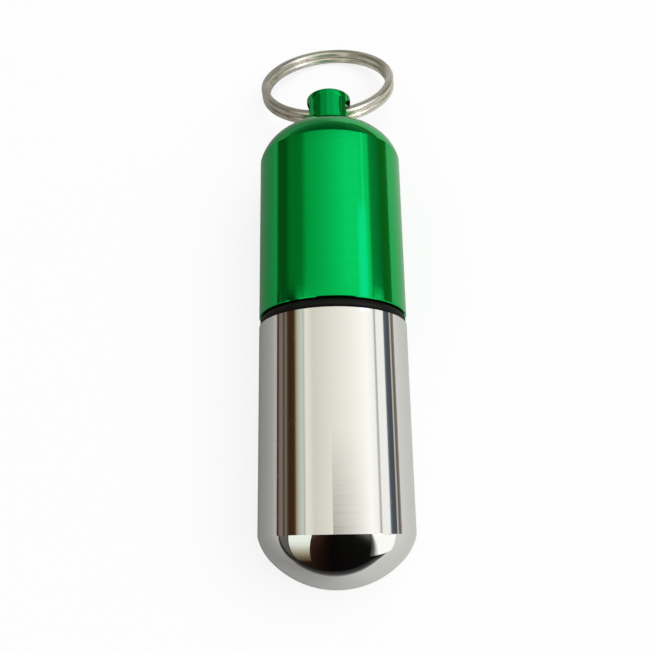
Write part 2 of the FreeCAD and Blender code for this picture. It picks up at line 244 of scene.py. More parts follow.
def new_group(name, inputs, outputs):
    """An empty shader node group with named sockets, and its two end nodes."""
    group = bpy.data.node_groups.new(name, "ShaderNodeTree")
    for label, kind in inputs:
        group.interface.new_socket(label, in_out="INPUT", socket_type="NodeSocket" + kind)
    for label, kind in outputs:
        group.interface.new_socket(label, in_out="OUTPUT", socket_type="NodeSocket" + kind)
    return group, group.nodes.new("NodeGroupInput"), group.nodes.new("NodeGroupOutput")


def new_material(name):
    """An empty material, and its node tree."""
    made = bpy.data.materials.new(name)
    made.use_nodes = True
    made.node_tree.nodes.clear()
    return made, made.node_tree


# The lathe tool leaves fine rings, and broader bands where its feed or the polishing mop changed.
turning_marks, given, result = new_group(
    "turning_marks", [("Along", "Float"), ("Marks per mm", "Float")],
    [("Rings", "Float"), ("Bands", "Float")])
ring_place = place_node(turning_marks, "Math", {0: given.outputs["Along"], 1: given.outputs["Marks per mm"]},
                        operation="MULTIPLY")
rings = place_node(turning_marks, "TexNoise", {"W": ring_place.outputs[0], "Scale": 1.0, "Detail": 4.0},
                   noise_dimensions="1D")
bands = place_node(turning_marks, "TexNoise", {"W": given.outputs["Along"], "Scale": 0.9, "Detail": 3.0},
                   noise_dimensions="1D")
turning_marks.links.new(rings.outputs["Fac"], result.inputs["Rings"])
turning_marks.links.new(bands.outputs["Fac"], result.inputs["Bands"])

# Keys and pockets leave hairlines in two directions, gathered in patches.
handling_marks, given, result = new_group(
    "handling_marks", [("Place", "Vector"), ("Fineness", "Float")],
    [("Hairlines", "Float"), ("Patches", "Float")])
layers = []
for tilt in (0.5, -1.1):
    laid = place_node(handling_marks, "Mapping", {
        "Vector": given.outputs["Place"], "Rotation": (tilt, 0.7 * tilt, 0.4),
        "Scale": (90.0, 1400.0, 1400.0)})
    line = place_node(handling_marks, "TexNoise", {
        "Vector": laid.outputs[0], "Scale": given.outputs["Fineness"], "Detail": 1.0})
    layers.append(place_node(handling_marks, "MapRange", {
        "Value": line.outputs["Fac"], "From Min": 0.62, "From Max": 0.72}))
both = place_node(handling_marks, "Math", {0: layers[0].outputs[0], 1: layers[1].outputs[0]},
                  operation="MAXIMUM")
patch = place_node(handling_marks, "TexNoise", {
    "Vector": given.outputs["Place"], "Scale": 160.0, "Detail": 3.0})
gathered = place_node(handling_marks, "MapRange", {
    "Value": patch.outputs["Fac"], "From Min": 0.42, "From Max": 0.68})
kept = place_node(handling_marks, "Math", {0: both.outputs[0], 1: gathered.outputs[0]}, operation="MULTIPLY")
handling_marks.links.new(kept.outputs[0], result.inputs["Hairlines"])
handling_marks.links.new(gathered.outputs[0], result.inputs["Patches"])

POLISHED_BRIGHT = (0.88, 0.875, 0.86, 1.0)
POLISHED_DULL = (0.868, 0.862, 0.846, 1.0)
AS_TURNED = (0.68, 0.675, 0.665, 1.0)
MARKS_BEGIN = 1.0
MARKS_FADE = (2.0, 13.0)
polished_aluminium, tree = new_material("polished_aluminium")
chart = place_node(tree, "UVMap", uv_map="turned")
spread = place_node(tree, "SeparateXYZ", {0: chart.outputs["UV"]})
where = place_node(tree, "TexCoord")
turned_finish = place_node(tree, "Group", {"Along": spread.outputs["Y"], "Marks per mm": 9.0},
                           node_tree=turning_marks)
handled = place_node(tree, "Group", {"Place": where.outputs["Object"], "Fineness": 1.0},
                     node_tree=handling_marks)
tint = place_node(tree, "MixRGB", {"Fac": turned_finish.outputs["Bands"], "Color1": POLISHED_BRIGHT,
                                   "Color2": POLISHED_DULL})
reach = place_node(tree, "UVMap", uv_map="polish")
mopped = place_node(tree, "SeparateXYZ", {0: reach.outputs["UV"]})
tint = place_node(tree, "MixRGB", {"Fac": mopped.outputs["X"], "Color1": AS_TURNED,
                                   "Color2": tint.outputs[0]})
ground = place_node(tree, "MapRange", {"Value": turned_finish.outputs["Rings"], "From Min": 0.3,
                                       "From Max": 0.7, "To Min": 0.012, "To Max": 0.032})
scuffed = place_node(tree, "MapRange", {"Value": handled.outputs["Hairlines"], "To Min": 0.0, "To Max": 0.12})
roughness = place_node(tree, "Math", {0: ground.outputs[0], 1: scuffed.outputs[0]}, operation="ADD")
unmopped = place_node(tree, "MapRange", {"Value": mopped.outputs["X"], "To Min": 0.24, "To Max": 0.0})
roughness = place_node(tree, "Math", {0: roughness.outputs[0], 1: unmopped.outputs[0]}, operation="ADD")
# The bands stand in relief on the wall just above the dome, and are polished away further up.
above_dome = place_node(tree, "MapRange", {
    "Value": spread.outputs["Y"], "From Min": dome_length, "From Max": dome_length + MARKS_BEGIN,
    "To Min": 0.0, "To Max": 1.0})
kept_marks = place_node(tree, "MapRange", {
    "Value": spread.outputs["Y"], "From Min": dome_length + MARKS_FADE[0],
    "From Max": dome_length + MARKS_FADE[1], "To Min": 1.0, "To Max": 0.04})
kept_marks = place_node(tree, "Math", {0: above_dome.outputs[0], 1: kept_marks.outputs[0]},
                        operation="MULTIPLY")
height = place_node(tree, "Math", {0: turned_finish.outputs["Bands"], 1: kept_marks.outputs[0]},
                    operation="MULTIPLY")
relief = place_node(tree, "Bump", {"Strength": 0.9, "Distance": 0.00001, "Height": height.outputs[0]})
surface = place_node(tree, "BsdfPrincipled", {
    "Base Color": tint.outputs[0], "Metallic": 1.0, "Roughness": roughness.outputs[0],
    "Normal": relief.outputs["Normal"]})
place_node(tree, "OutputMaterial", {"Surface": surface.outputs["BSDF"]})
vial.data.materials.append(polished_aluminium)
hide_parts("vial")
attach(vial, "vial")


# Seal: a moulded ring of black rubber, sprung over the neck onto its seat. The cap's rim closes down on it,
# and its outer edge shows as the dark line between the two halves.
SEAL_RADIUS = 0.75
SEAL_MIDDLE_RADIUS = 11.55
SEAL_LEVEL = 0.8
FLASH = 0.03
SEAL_STEPS = 40
SEAL_SHARP = radians(40)

turned_seal = Turning()
first_ring = None
for k in range(SEAL_STEPS):
    turn = pi / 2 - tau * k / SEAL_STEPS
    thickness = SEAL_RADIUS + (FLASH if k in (0, SEAL_STEPS // 2) else 0.0)
    ring = turned_seal.circle(SEAL_MIDDLE_RADIUS + thickness * sin(turn), SEAL_LEVEL + thickness * cos(turn))
    first_ring = first_ring or ring
turned_seal.skin(turned_seal.last, first_ring)
turned_seal.faces = [tuple(reversed(face)) for face in turned_seal.faces]
seal = turned_seal.piece("seal_ring", SEAL_SHARP)

RUBBER_BLACK = (0.004, 0.004, 0.004, 1.0)
RUBBER_GREY = (0.009, 0.009, 0.009, 1.0)
seal_rubber, tree = new_material("seal_rubber")
where = place_node(tree, "TexCoord")
grain = place_node(tree, "TexNoise", {"Vector": where.outputs["Object"], "Scale": 9000.0, "Detail": 2.0})
bloom = place_node(tree, "TexNoise", {"Vector": where.outputs["Object"], "Scale": 420.0, "Detail": 4.0})
tint = place_node(tree, "MixRGB", {"Fac": bloom.outputs["Fac"], "Color1": RUBBER_BLACK,
                                   "Color2": RUBBER_GREY})
roughness = place_node(tree, "MapRange", {"Value": bloom.outputs["Fac"], "From Min": 0.3, "From Max": 0.7,
                                          "To Min": 0.34, "To Max": 0.52})
relief = place_node(tree, "Bump", {"Strength": 0.12, "Distance": 0.00002, "Height": grain.outputs["Fac"]})
surface = place_node(tree, "BsdfPrincipled", {
    "Base Color": tint.outputs[0], "Roughness": roughness.outputs[0], "Normal": relief.outputs["Normal"],
    "Specular IOR Level": 0.1})
place_node(tree, "OutputMaterial", {"Surface": surface.outputs["BSDF"]})
seal.data.materials.append(seal_rubber)
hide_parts("o_ring")
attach(seal, "o_ring")


# Cap: the upper half, turned from one aluminium bar with its boss, threaded inside the mouth, cross-drilled
# through the boss for the key ring, polished, dyed green and anodised.
CAP_RIM = 1.6
CAP_SEAM = 30.7
CAP_DOME_HEIGHT = 8.0
CAP_BORE_RADIUS = 9.5
CAP_ROOF = 31.1
MOUTH_RADIUS = 10.95
MOUTH_END = 10.4
MOUTH_CHAMFER = 0.3
MOUTH_THREAD = (2.3, 9.9)
BOSS_RADIUS = 4.05
BOSS_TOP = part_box("cap")[1].y / MM - SHOULDER_Y
BOSS_EDGE = 0.3
BOSS_FOOT = 0.4
ring_swing = [j for j in frame["record"]["behaviour"]["joints"] if j["name"] == "ring_swing"][0]
HOLE_RADIUS = 2.29
HOLE_LEVEL = ring_swing["pos_m"][1] / MM - SHOULDER_Y
HOLE_CHAMFER = 0.12
CROWN_STEPS = 12
EDGE_STEPS = 6
BAND_STEPS = 12
BAND_SHARES = (0.3, 0.6, 0.85)

turned_cap = Turning()
turned_cap.polish = 0.0
turned_cap.pole(CAP_ROOF)
turned_cap.follow(arc(CAP_BORE_RADIUS - BORE_CORNER, CAP_ROOF - BORE_CORNER, BORE_CORNER, 0, pi / 2,
                      CORNER_STEPS))
turned_cap.follow([(CAP_BORE_RADIUS, MOUTH_END + MOUTH_CHAMFER), (CAP_BORE_RADIUS + MOUTH_CHAMFER, MOUTH_END),
                   (MOUTH_RADIUS, MOUTH_END)])
for level in reversed(thread_levels(MOUTH_THREAD)):
    full = (THREAD_CREST - THREAD_ROOT) * thread_fade(level, MOUTH_THREAD)
    turned_cap.circle(MOUTH_RADIUS, level, lambda a: MOUTH_RADIUS - full * (1 - thread_height(level, a)))
turned_cap.follow([(MOUTH_RADIUS, CAP_RIM + RIM_CHAMFER), (MOUTH_RADIUS + RIM_CHAMFER, CAP_RIM)])
turned_cap.polish = 1.0
turned_cap.follow([(BODY_RADIUS - RIM_CHAMFER, CAP_RIM), (BODY_RADIUS, CAP_RIM + RIM_CHAMFER)])
crown, crown_middle, meeting, edge_middle = dome(CAP_DOME_HEIGHT)
edge_level = CAP_SEAM - DOME_EDGE_RADIUS * sin(SEAM_ANGLE)
turned_cap.follow(arc(edge_middle, edge_level, DOME_EDGE_RADIUS, pi / 2 - SEAM_ANGLE, meeting, DOME_STEPS))
foot_radius = BOSS_RADIUS + BOSS_FOOT
foot_rise = sqrt((crown + BOSS_FOOT) ** 2 - foot_radius ** 2)
foot_angle = atan2(foot_radius, foot_rise)
turned_cap.follow(arc(0, CAP_SEAM + crown_middle, crown, meeting, foot_angle, CROWN_STEPS)[1:])
foot_level = CAP_SEAM + crown_middle + foot_rise
turned_cap.follow(arc(foot_radius, foot_level, BOSS_FOOT, pi + foot_angle, 1.5 * pi, EDGE_STEPS)[1:])

# The band round the hole: two half-round patches, each from the boss's circles to one mouth of the hole.
band_low = foot_level
band_high = BOSS_TOP - BOSS_EDGE
low_ring = turned_cap.last
low_along = turned_cap.travelled
high_along = low_along + band_high - band_low
high_ring = []
for i in range(FACETS):
    high_ring.append(turned_cap.add(spot(BOSS_RADIUS, tau * i / FACETS, band_high), high_along))
side_lines = {}
for i in (0, FACETS // 2):
    line = [low_ring[i]]
    for k in range(1, BAND_STEPS):
        level = band_low + (band_high - band_low) * k / BAND_STEPS
        line.append(turned_cap.add(spot(BOSS_RADIUS, tau * i / FACETS, level), low_along + level - band_low))
    side_lines[i] = line + [high_ring[i]]


def band_edge(side):
    """The points round one half of the band: down its low circle, along the line below, up its high circle,
    and back along the line on top."""
    half = [i * side % FACETS for i in range(FACETS // 2 + 1)]
    loop = [low_ring[i] for i in half]
    loop += side_lines[FACETS // 2][1:-1]
    loop += [high_ring[i] for i in reversed(half)]
    loop += list(reversed(side_lines[0][1:-1]))
    return loop


def mouth_loop(side, edge, hole_radius, sink):
    """The hole's circle on the boss, or sunk below its face, with a point for each one of the band's edge."""
    loop = []
    for v in edge:
        x, y, z = turned_cap.points[v]
        turn = atan2(x * side, z - AXIS_HEIGHT * MM)
        heading = atan2(y / MM - SHOULDER_Y - HOLE_LEVEL, BOSS_RADIUS * (turn - pi / 2))
        across = hole_radius * cos(heading)
        level = HOLE_LEVEL + hole_radius * sin(heading)
        out = side * (sqrt(BOSS_RADIUS ** 2 - across ** 2) - sink)
        place = (out * MM, (SHOULDER_Y + level) * MM, (AXIS_HEIGHT - across) * MM)
        loop.append(turned_cap.add(place, low_along + level - band_low))
    return loop


def between(side, outer, inner, share):
    """A loop part of the way from the band's edge to the hole's mouth, on the boss's face."""
    loop = []
    for a, b in zip(outer, inner):
        place = []
        for v in (a, b):
            x, y, z = turned_cap.points[v]
            place.append((atan2(x * side, z - AXIS_HEIGHT * MM), y / MM - SHOULDER_Y))
        turn = side * (place[0][0] + share * (place[1][0] - place[0][0]))
        level = place[0][1] + share * (place[1][1] - place[0][1])
        loop.append(turned_cap.add(spot(BOSS_RADIUS, turn, level), low_along + level - band_low))
    return loop


def join_loops(outer, inner, side):
    """Faces between two loops with as many points, turned to look out of the metal."""
    for a in range(len(outer)):
        b = (a + 1) % len(outer)
        face = (outer[a], outer[b], inner[b], inner[a])
        turned_cap.faces.append(face if side > 0 else tuple(reversed(face)))


hole_loops = {}
for side in (1, -1):
    edge = band_edge(side)
    mouth = mouth_loop(side, edge, HOLE_RADIUS + HOLE_CHAMFER, 0.0)
    loops = [edge] + [between(side, edge, mouth, share) for share in BAND_SHARES] + [mouth]
    # The hole's wall is marked unpolished, which also darkens its green as painted shade.
    turned_cap.polish = 0.0
    hole_loops[side] = mouth_loop(side, edge, HOLE_RADIUS, HOLE_CHAMFER)
    turned_cap.polish = 1.0
    loops.append(hole_loops[side])
    for outer, inner in zip(loops, loops[1:]):
        join_loops(outer, inner, side)
join_loops(hole_loops[1], hole_loops[-1], 1)

turned_cap.last, turned_cap.last_place = high_ring, (BOSS_RADIUS, band_high)
turned_cap.travelled = high_along
turned_cap.follow(arc(BOSS_RADIUS - BOSS_EDGE, band_high, BOSS_EDGE, pi / 2, 0, EDGE_STEPS)[1:])
turned_cap.pole(BOSS_TOP)
cap = turned_cap.piece("cap_body", TURNED_SHARP)

GREEN_DEEP = (0.0, 0.515, 0.096, 1.0)
GREEN_PALE = (0.001, 0.548, 0.11, 1.0)
# The near-black green is painted shade, for the inside of the cap's mouth and the wall of its hole.
GREEN_PAINTED_SHADE = (0.0, 0.09, 0.016, 1.0)
green_anodised, tree = new_material("green_anodised")
chart = place_node(tree, "UVMap", uv_map="turned")
spread = place_node(tree, "SeparateXYZ", {0: chart.outputs["UV"]})
where = place_node(tree, "TexCoord")
turned_finish = place_node(tree, "Group", {"Along": spread.outputs["Y"], "Marks per mm": 7.0},
                           node_tree=turning_marks)
handled = place_node(tree, "Group", {"Place": where.outputs["Object"], "Fineness": 1.0},
                     node_tree=handling_marks)
green_colour = place_node(tree, "MixRGB", {"Fac": turned_finish.outputs["Bands"], "Color1": GREEN_DEEP,
                                  "Color2": GREEN_PALE})
reach = place_node(tree, "UVMap", uv_map="polish")
mopped = place_node(tree, "SeparateXYZ", {0: reach.outputs["UV"]})
# Where the cap is unpolished, inside its mouth and in its hole, the green is darkened nearly to black as
# painted shade.
green_colour = place_node(tree, "MixRGB", {"Fac": mopped.outputs["X"], "Color1": GREEN_PAINTED_SHADE,
                                  "Color2": green_colour.outputs[0]})
ground = place_node(tree, "MapRange", {"Value": turned_finish.outputs["Rings"], "From Min": 0.3,
                                       "From Max": 0.7, "To Min": 0.07, "To Max": 0.11})
scuffed = place_node(tree, "MapRange", {"Value": handled.outputs["Hairlines"], "To Min": 0.0, "To Max": 0.1})
roughness = place_node(tree, "Math", {0: ground.outputs[0], 1: scuffed.outputs[0]}, operation="ADD")
unmopped = place_node(tree, "MapRange", {"Value": mopped.outputs["X"], "To Min": 0.3, "To Max": 0.0})
roughness = place_node(tree, "Math", {0: roughness.outputs[0], 1: unmopped.outputs[0]}, operation="ADD")
relief = place_node(tree, "Bump", {"Strength": 0.25, "Distance": 0.000008,
                                   "Height": turned_finish.outputs["Bands"]})
surface = place_node(tree, "BsdfPrincipled", {
    "Base Color": green_colour.outputs[0], "Metallic": 1.0, "Roughness": roughness.outputs[0],
    "Normal": relief.outputs["Normal"], "Coat Weight": 0.03, "Coat Roughness": 0.05})
place_node(tree, "OutputMaterial", {"Surface": surface.outputs["BSDF"]})
cap.data.materials.append(green_anodised)
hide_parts("cap")
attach(cap, "cap")


# Split ring: one flattened spring-steel wire, wound two turns and nickel-plated, threaded through the boss.
# The turns lie one on the other; the wire climbs from one to the next, and ends, inside the boss's hole.
# Places along the wire are in degrees round the ring.
RING_MIDDLE_RADIUS = 12.15
WIRE_WIDTH = 1.499
WIRE_THICKNESS = 1.2
WIRE_CORNER = 0.4
WIRE_CORNER_POINTS = 6
WIRE_POINTS = 4 * WIRE_CORNER_POINTS
WIRE_SHARP = radians(30)
RING_STACK = 2.42
WIRE_START = -74.8
CLIMB_START = 263.2
CLIMB_END = 283.2
WIRE_END = 621.2
END_TAPER = 0.3
END_SCALE = 0.82
STATION_TURN = 1.5
loop_mount = [m for m in frame["record"]["mounts"] if m["name"] == "key_loop"][0]
RING_CENTRE = Vector(loop_mount["pos_m"])
RING_UP = Vector(loop_mount["axis"]).normalized()
RING_RIGHT = Vector((1.0, 0.0, 0.0))
RING_FAR = RING_UP.cross(RING_RIGHT)


def wire_section(scale):
    """Points round the wire, outward and upward from its middle: a flat bar with rounded corners."""
    outline = []
    for out, up, start in ((1, 1, 0), (-1, 1, 90), (-1, -1, 180), (1, -1, 270)):
        for k in range(WIRE_CORNER_POINTS):
            turn = radians(start + 90 * k / (WIRE_CORNER_POINTS - 1))
            outline.append((scale * (out * (WIRE_WIDTH / 2 - WIRE_CORNER) + WIRE_CORNER * cos(turn)),
                            scale * (up * (WIRE_THICKNESS / 2 - WIRE_CORNER) + WIRE_CORNER * sin(turn))))
    return outline


def wire_level(turn):
    """Height of the wire's middle above the middle of the stack, in a smooth climb from turn to turn."""
    rise = RING_STACK - WIRE_THICKNESS
    share = min(max((turn - CLIMB_START) / (CLIMB_END - CLIMB_START), 0.0), 1.0)
    return rise * (share * share * (3 - 2 * share) - 0.5)


first_full, last_full = WIRE_START + END_TAPER, WIRE_END - END_TAPER
stations = [(WIRE_START, END_SCALE), (first_full, 1.0)]
for k in range(ceil(first_full / STATION_TURN), floor(last_full / STATION_TURN) + 1):
    stations.append((k * STATION_TURN, 1.0))
stations += [(last_full, 1.0), (WIRE_END, END_SCALE)]
points, faces, chart_rows = [], [], []
for turn, scale in stations:
    outward = RING_RIGHT * cos(radians(turn)) + RING_FAR * sin(radians(turn))
    for out, up in wire_section(scale):
        sideways = outward * (RING_MIDDLE_RADIUS + out) * MM
        points.append(RING_CENTRE + sideways + RING_UP * (wire_level(turn) + up) * MM)
    chart_rows.append(radians(turn) * RING_MIDDLE_RADIUS)
for row in range(len(stations) - 1):
    for k in range(WIRE_POINTS):
        n = (k + 1) % WIRE_POINTS
        low, high = row * WIRE_POINTS, (row + 1) * WIRE_POINTS
        faces.append((low + k, high + k, high + n, low + n))
faces.append(tuple(range(WIRE_POINTS)))
faces.append(tuple(reversed(range(len(points) - WIRE_POINTS, len(points)))))
mesh = bpy.data.meshes.new("key_ring_wire")
mesh.from_pydata(points, [], faces)
chart = mesh.uv_layers.new(name="drawn")
for face in mesh.polygons:
    around = [v % WIRE_POINTS for v in face.vertices]
    wrapped = max(around) - min(around) > WIRE_POINTS // 2
    for corner, v, place in zip(face.loop_indices, face.vertices, around):
        lap = 1.0 if wrapped and place == 0 and len(around) == 4 else 0.0
        chart.data[corner].uv = (chart_rows[v // WIRE_POINTS], place / WIRE_POINTS + lap)
mesh.shade_smooth()
mesh.set_sharp_from_angle(angle=WIRE_SHARP)
key_ring = bpy.data.objects.new("key_ring_wire", mesh)
bpy.context.scene.collection.objects.link(key_ring)

NICKEL_BRIGHT = (0.92, 0.885, 0.80, 1.0)
NICKEL_DULL = (0.62, 0.585, 0.49, 1.0)
nickel_plate, tree = new_material("nickel_plate")
chart = place_node(tree, "UVMap", uv_map="drawn")
drawn = place_node(tree, "Mapping", {"Vector": chart.outputs["UV"], "Scale": (0.25, 60.0, 1.0)})
draw_lines = place_node(tree, "TexNoise", {"Vector": drawn.outputs[0], "Scale": 1.0, "Detail": 3.0})
where = place_node(tree, "TexCoord")
handled = place_node(tree, "Group", {"Place": where.outputs["Object"], "Fineness": 1.4},
                     node_tree=handling_marks)
tint = place_node(tree, "MixRGB", {"Fac": handled.outputs["Patches"], "Color1": NICKEL_BRIGHT,
                                   "Color2": NICKEL_DULL})
ground = place_node(tree, "MapRange", {"Value": draw_lines.outputs["Fac"], "From Min": 0.3, "From Max": 0.7,
                                       "To Min": 0.24, "To Max": 0.34})
scuffed = place_node(tree, "MapRange", {"Value": handled.outputs["Hairlines"], "To Min": 0.0, "To Max": 0.2})
roughness = place_node(tree, "Math", {0: ground.outputs[0], 1: scuffed.outputs[0]}, operation="ADD")
relief = place_node(tree, "Bump", {"Strength": 0.1, "Distance": 0.00003, "Height": draw_lines.outputs["Fac"]})
grain = place_node(tree, "Tangent", direction_type="UV_MAP", uv_map="drawn")
surface = place_node(tree, "BsdfPrincipled", {
    "Base Color": tint.outputs[0], "Metallic": 1.0, "Roughness": roughness.outputs[0],
    "Normal": relief.outputs["Normal"], "Anisotropic": 0.85, "Anisotropic Rotation": 0.25,
    "Tangent": grain.outputs["Tangent"]})
place_node(tree, "OutputMaterial", {"Surface": surface.outputs["BSDF"]})
key_ring.data.materials.append(nickel_plate)
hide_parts("split_ring")
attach(key_ring, "split_ring")


# Floor: a plain white sheet of paper that the holder lies on. It keeps the holder's shadow, and is lifted to
# white away from it.
FLOOR_HALF = 1500.0
FLOOR_LEVEL = -0.02
FLOOR_WHITE = (0.95, 0.95, 0.945, 1.0)
FLOOR_GREY = (0.92, 0.92, 0.92, 1.0)
LIFT_NEAR, LIFT_FAR = 200.0, 1200.0
SQUARE = [(-1, -1), (1, -1), (1, 1), (-1, 1)]
mesh = bpy.data.meshes.new("white_sheet")
mesh.from_pydata([Vector((x * FLOOR_HALF, y * FLOOR_HALF, FLOOR_LEVEL)) * MM for x, y in SQUARE], [],
                 [(0, 1, 2, 3)])
sheet = bpy.data.objects.new("white_sheet", mesh)
bpy.context.scene.collection.objects.link(sheet)


def directly_seen(tree):
    """1 for what the camera sees, plainly or in glass or metal, and 0 for light that falls on things."""
    path = place_node(tree, "LightPath")
    seen = place_node(tree, "Math", {0: path.outputs["Is Camera Ray"],
                                     1: path.outputs["Is Transmission Ray"]}, operation="MAXIMUM")
    seen = place_node(tree, "Math", {0: seen.outputs[0], 1: path.outputs["Is Glossy Ray"]},
                      operation="MAXIMUM")
    return seen.outputs[0]


white_sheet, tree = new_material("white_sheet")
where = place_node(tree, "TexCoord")
mottle = place_node(tree, "TexNoise", {"Vector": where.outputs["Object"], "Scale": 30.0, "Detail": 4.0})
tint = place_node(tree, "MixRGB", {"Fac": mottle.outputs["Fac"], "Color1": FLOOR_WHITE, "Color2": FLOOR_GREY})
matt = place_node(tree, "BsdfDiffuse", {"Color": tint.outputs[0]})
white = place_node(tree, "Emission", {"Color": (1.0, 1.0, 1.0, 1.0), "Strength": 1.0})
away = place_node(tree, "VectorMath", {0: where.outputs["Object"]}, operation="LENGTH")
lift = place_node(tree, "MapRange", {"Value": away.outputs["Value"], "From Min": LIFT_NEAR * MM,
                                     "From Max": LIFT_FAR * MM, "To Min": 0.8, "To Max": 1.0})
lifted = place_node(tree, "Math", {0: directly_seen(tree), 1: lift.outputs[0]}, operation="MULTIPLY")
mixed = place_node(tree, "MixShader", {0: lifted.outputs[0], 1: matt.outputs[0], 2: white.outputs[0]})
place_node(tree, "OutputMaterial", {"Surface": mixed.outputs[0]})
sheet.data.materials.append(white_sheet)


# Studio: a pale cloth tent over the holder with a brown wall along its left side, strip lamps and a window
# in it, dark and pale cards that stand close to the holder, and a grey table sheet with painted shade on it.
# They give the polished metal its stripes, and only reflections see them.
def card(name, corners, span=(0, 1, 1, 0)):
    """A flat card from its corners in mm; span says where each corner lies across the card's own colours."""
    panel = bpy.data.meshes.new(name)
    panel.from_pydata([Vector(corner) * MM for corner in corners], [], [tuple(range(len(corners)))])
    chart = panel.uv_layers.new(name="span")
    for corner, across in zip(panel.polygons[0].loop_indices, span):
        chart.data[corner].uv = (across, 0.0)
    return panel


def ramp_node(tree, stops):
    """A colour ramp across a card, from its list of places and colours."""
    chart = place_node(tree, "UVMap", uv_map="span")
    spread = place_node(tree, "SeparateXYZ", {0: chart.outputs["UV"]})
    ramp = place_node(tree, "ValToRGB", {"Fac": spread.outputs["X"]})
    while len(ramp.color_ramp.elements) < len(stops):
        ramp.color_ramp.elements.new(0.5)
    for stop, (place, colour) in zip(ramp.color_ramp.elements, stops):
        stop.position = place
        stop.color = (*colour, 1.0)
    return ramp


def put_up(panel, finish):
    """A card put up in the studio, where only reflections see it."""
    made = bpy.data.objects.new(panel.name, panel)
    bpy.context.scene.collection.objects.link(made)
    panel.materials.append(finish)
    made.visible_camera = False
    made.visible_diffuse = False
    made.visible_shadow = False
    made.visible_transmission = False


def lit(name, stops, strength=1.0):
    """A finish that glows with the colours of a ramp."""
    finish, tree = new_material(name)
    light = place_node(tree, "Emission", {"Color": ramp_node(tree, stops).outputs[0], "Strength": strength})
    place_node(tree, "OutputMaterial", {"Surface": light.outputs[0]})
    return finish


def arch(name, radius, start, end, near, far):
    """Part of a tunnel over the holder, between two angles about its axis in degrees, 0 being straight up."""
    steps = round(end - start)
    points, faces = [], []
    for k in range(steps + 1):
        angle = radians(start + (end - start) * k / steps)
        for y in (near, far):
            points.append((radius * sin(angle) * MM, y * MM, (AXIS_HEIGHT + radius * cos(angle)) * MM))
    for k in range(steps):
        faces.append((2 * k, 2 * k + 1, 2 * k + 3, 2 * k + 2))
    panel = bpy.data.meshes.new(name)
    panel.from_pydata(points, [], faces)
    chart = panel.uv_layers.new(name="span")
    for face in panel.polygons:
        for corner, v in zip(face.loop_indices, face.vertices):
            chart.data[corner].uv = (v // 2 / steps, v % 2)
    return panel


# The tent's cloth, wall and far end change in colour with the angle, from the left to the right.
TENT_RADIUS = 400.0
TENT_NEAR, TENT_JOINT, TENT_BACK, TENT_FAR = -420.0, 125.0, 250.0, 420.0
TENT_GLOW = [(-50, (0.38, 0.37, 0.30)), (-46, (0.46, 0.50, 0.44)), (-42, (0.52, 0.57, 0.50)),
             (-40, (0.40, 0.43, 0.37)), (-37, (0.72, 0.72, 0.64)), (-32, (0.70, 0.69, 0.61)),
             (-25, (0.61, 0.60, 0.52)), (0, (0.72, 0.70, 0.63)), (25, (0.82, 0.80, 0.74)),
             (54, (0.96, 0.95, 0.91)), (66, (0.86, 0.86, 0.82)), (69, (0.40, 0.40, 0.38)),
             (70, (0.40, 0.40, 0.38)), (72, (0.84, 0.84, 0.81)), (84, (0.84, 0.85, 0.84)),
             (89, (0.3, 0.3, 0.3))]
WALL_GLOW = [(-92, (0.48, 0.46, 0.44)), (-89, (0.46, 0.42, 0.38)), (-87.5, (0.05, 0.03, 0.02)),
             (-85, (0.06, 0.04, 0.03)), (-83, (0.19, 0.15, 0.12)), (-79, (0.22, 0.17, 0.14)),
             (-76, (0.16, 0.12, 0.10)), (-74, (0.06, 0.04, 0.025)), (-70.5, (0.21, 0.165, 0.14)),
             (-67.5, (0.09, 0.06, 0.04)), (-64.5, (0.042, 0.02, 0.009)), (-57, (0.05, 0.025, 0.008)),
             (-54.5, (0.085, 0.05, 0.02)), (-52, (0.33, 0.27, 0.19)), (-50, (0.42, 0.41, 0.34))]
FAR_GLOW = [(-92, (0.40, 0.40, 0.36)), (-89, (0.36, 0.36, 0.31)), (-86, (0.10, 0.10, 0.05)),
            (-70, (0.10, 0.10, 0.05)), (-62, (0.21, 0.21, 0.11)), (-42, (0.22, 0.22, 0.12)),
            (-32, (0.46, 0.46, 0.33)), (-10, (0.58, 0.58, 0.48)), (15, (0.78, 0.78, 0.75)),
            (30, (0.92, 0.92, 0.94)), (50, (0.92, 0.92, 0.94)), (66, (0.80, 0.80, 0.74)),
            (70, (0.32, 0.32, 0.25)), (90, (0.17, 0.17, 0.12))]


def tent(name, glow, near, far, strength=1.0):
    """A length of the tent, with its colours given by angle about the holder's axis."""
    first, last = glow[0][0], glow[-1][0]
    stops = [((angle - first) / (last - first), colour) for angle, colour in glow]
    put_up(arch(name, TENT_RADIUS, first, last, near, far), lit(name, stops, strength))


tent("light_tent", TENT_GLOW, TENT_NEAR, TENT_JOINT, strength=1.15)
tent("brown_wall", WALL_GLOW, TENT_NEAR, TENT_JOINT)
tent("far_tent", FAR_GLOW, TENT_JOINT, TENT_BACK, strength=1.2)
tent("back_tent", FAR_GLOW, TENT_BACK, TENT_FAR, strength=0.78)
put_up(arch("strip_lamp", radius=TENT_RADIUS - 8, start=52, end=62, near=TENT_JOINT, far=TENT_BACK),
       lit("strip_lamp", [(0.0, (0.6, 0.6, 0.6)), (0.35, (0.95, 0.95, 1.0)), (0.65, (0.95, 0.95, 1.0)),
                          (1.0, (0.55, 0.55, 0.55))], strength=1.3))
put_up(arch("near_strip", radius=TENT_RADIUS - 9, start=46, end=62, near=TENT_JOINT - 17,
            far=TENT_JOINT + 60),
       lit("near_strip", [(0.0, (0.55, 0.55, 0.8)), (0.35, (0.61, 0.62, 1.0)), (0.65, (0.61, 0.62, 1.0)),
                          (1.0, (0.55, 0.55, 0.8))], strength=2.2))
put_up(arch("front_window", radius=TENT_RADIUS - 12, start=46, end=74, near=-260, far=-60),
       lit("front_window", [(0.0, (0.9, 0.9, 0.88)), (0.3, (1.0, 1.0, 0.98)), (0.7, (1.0, 1.0, 0.98)),
                            (1.0, (0.9, 0.9, 0.88))], strength=4.0))

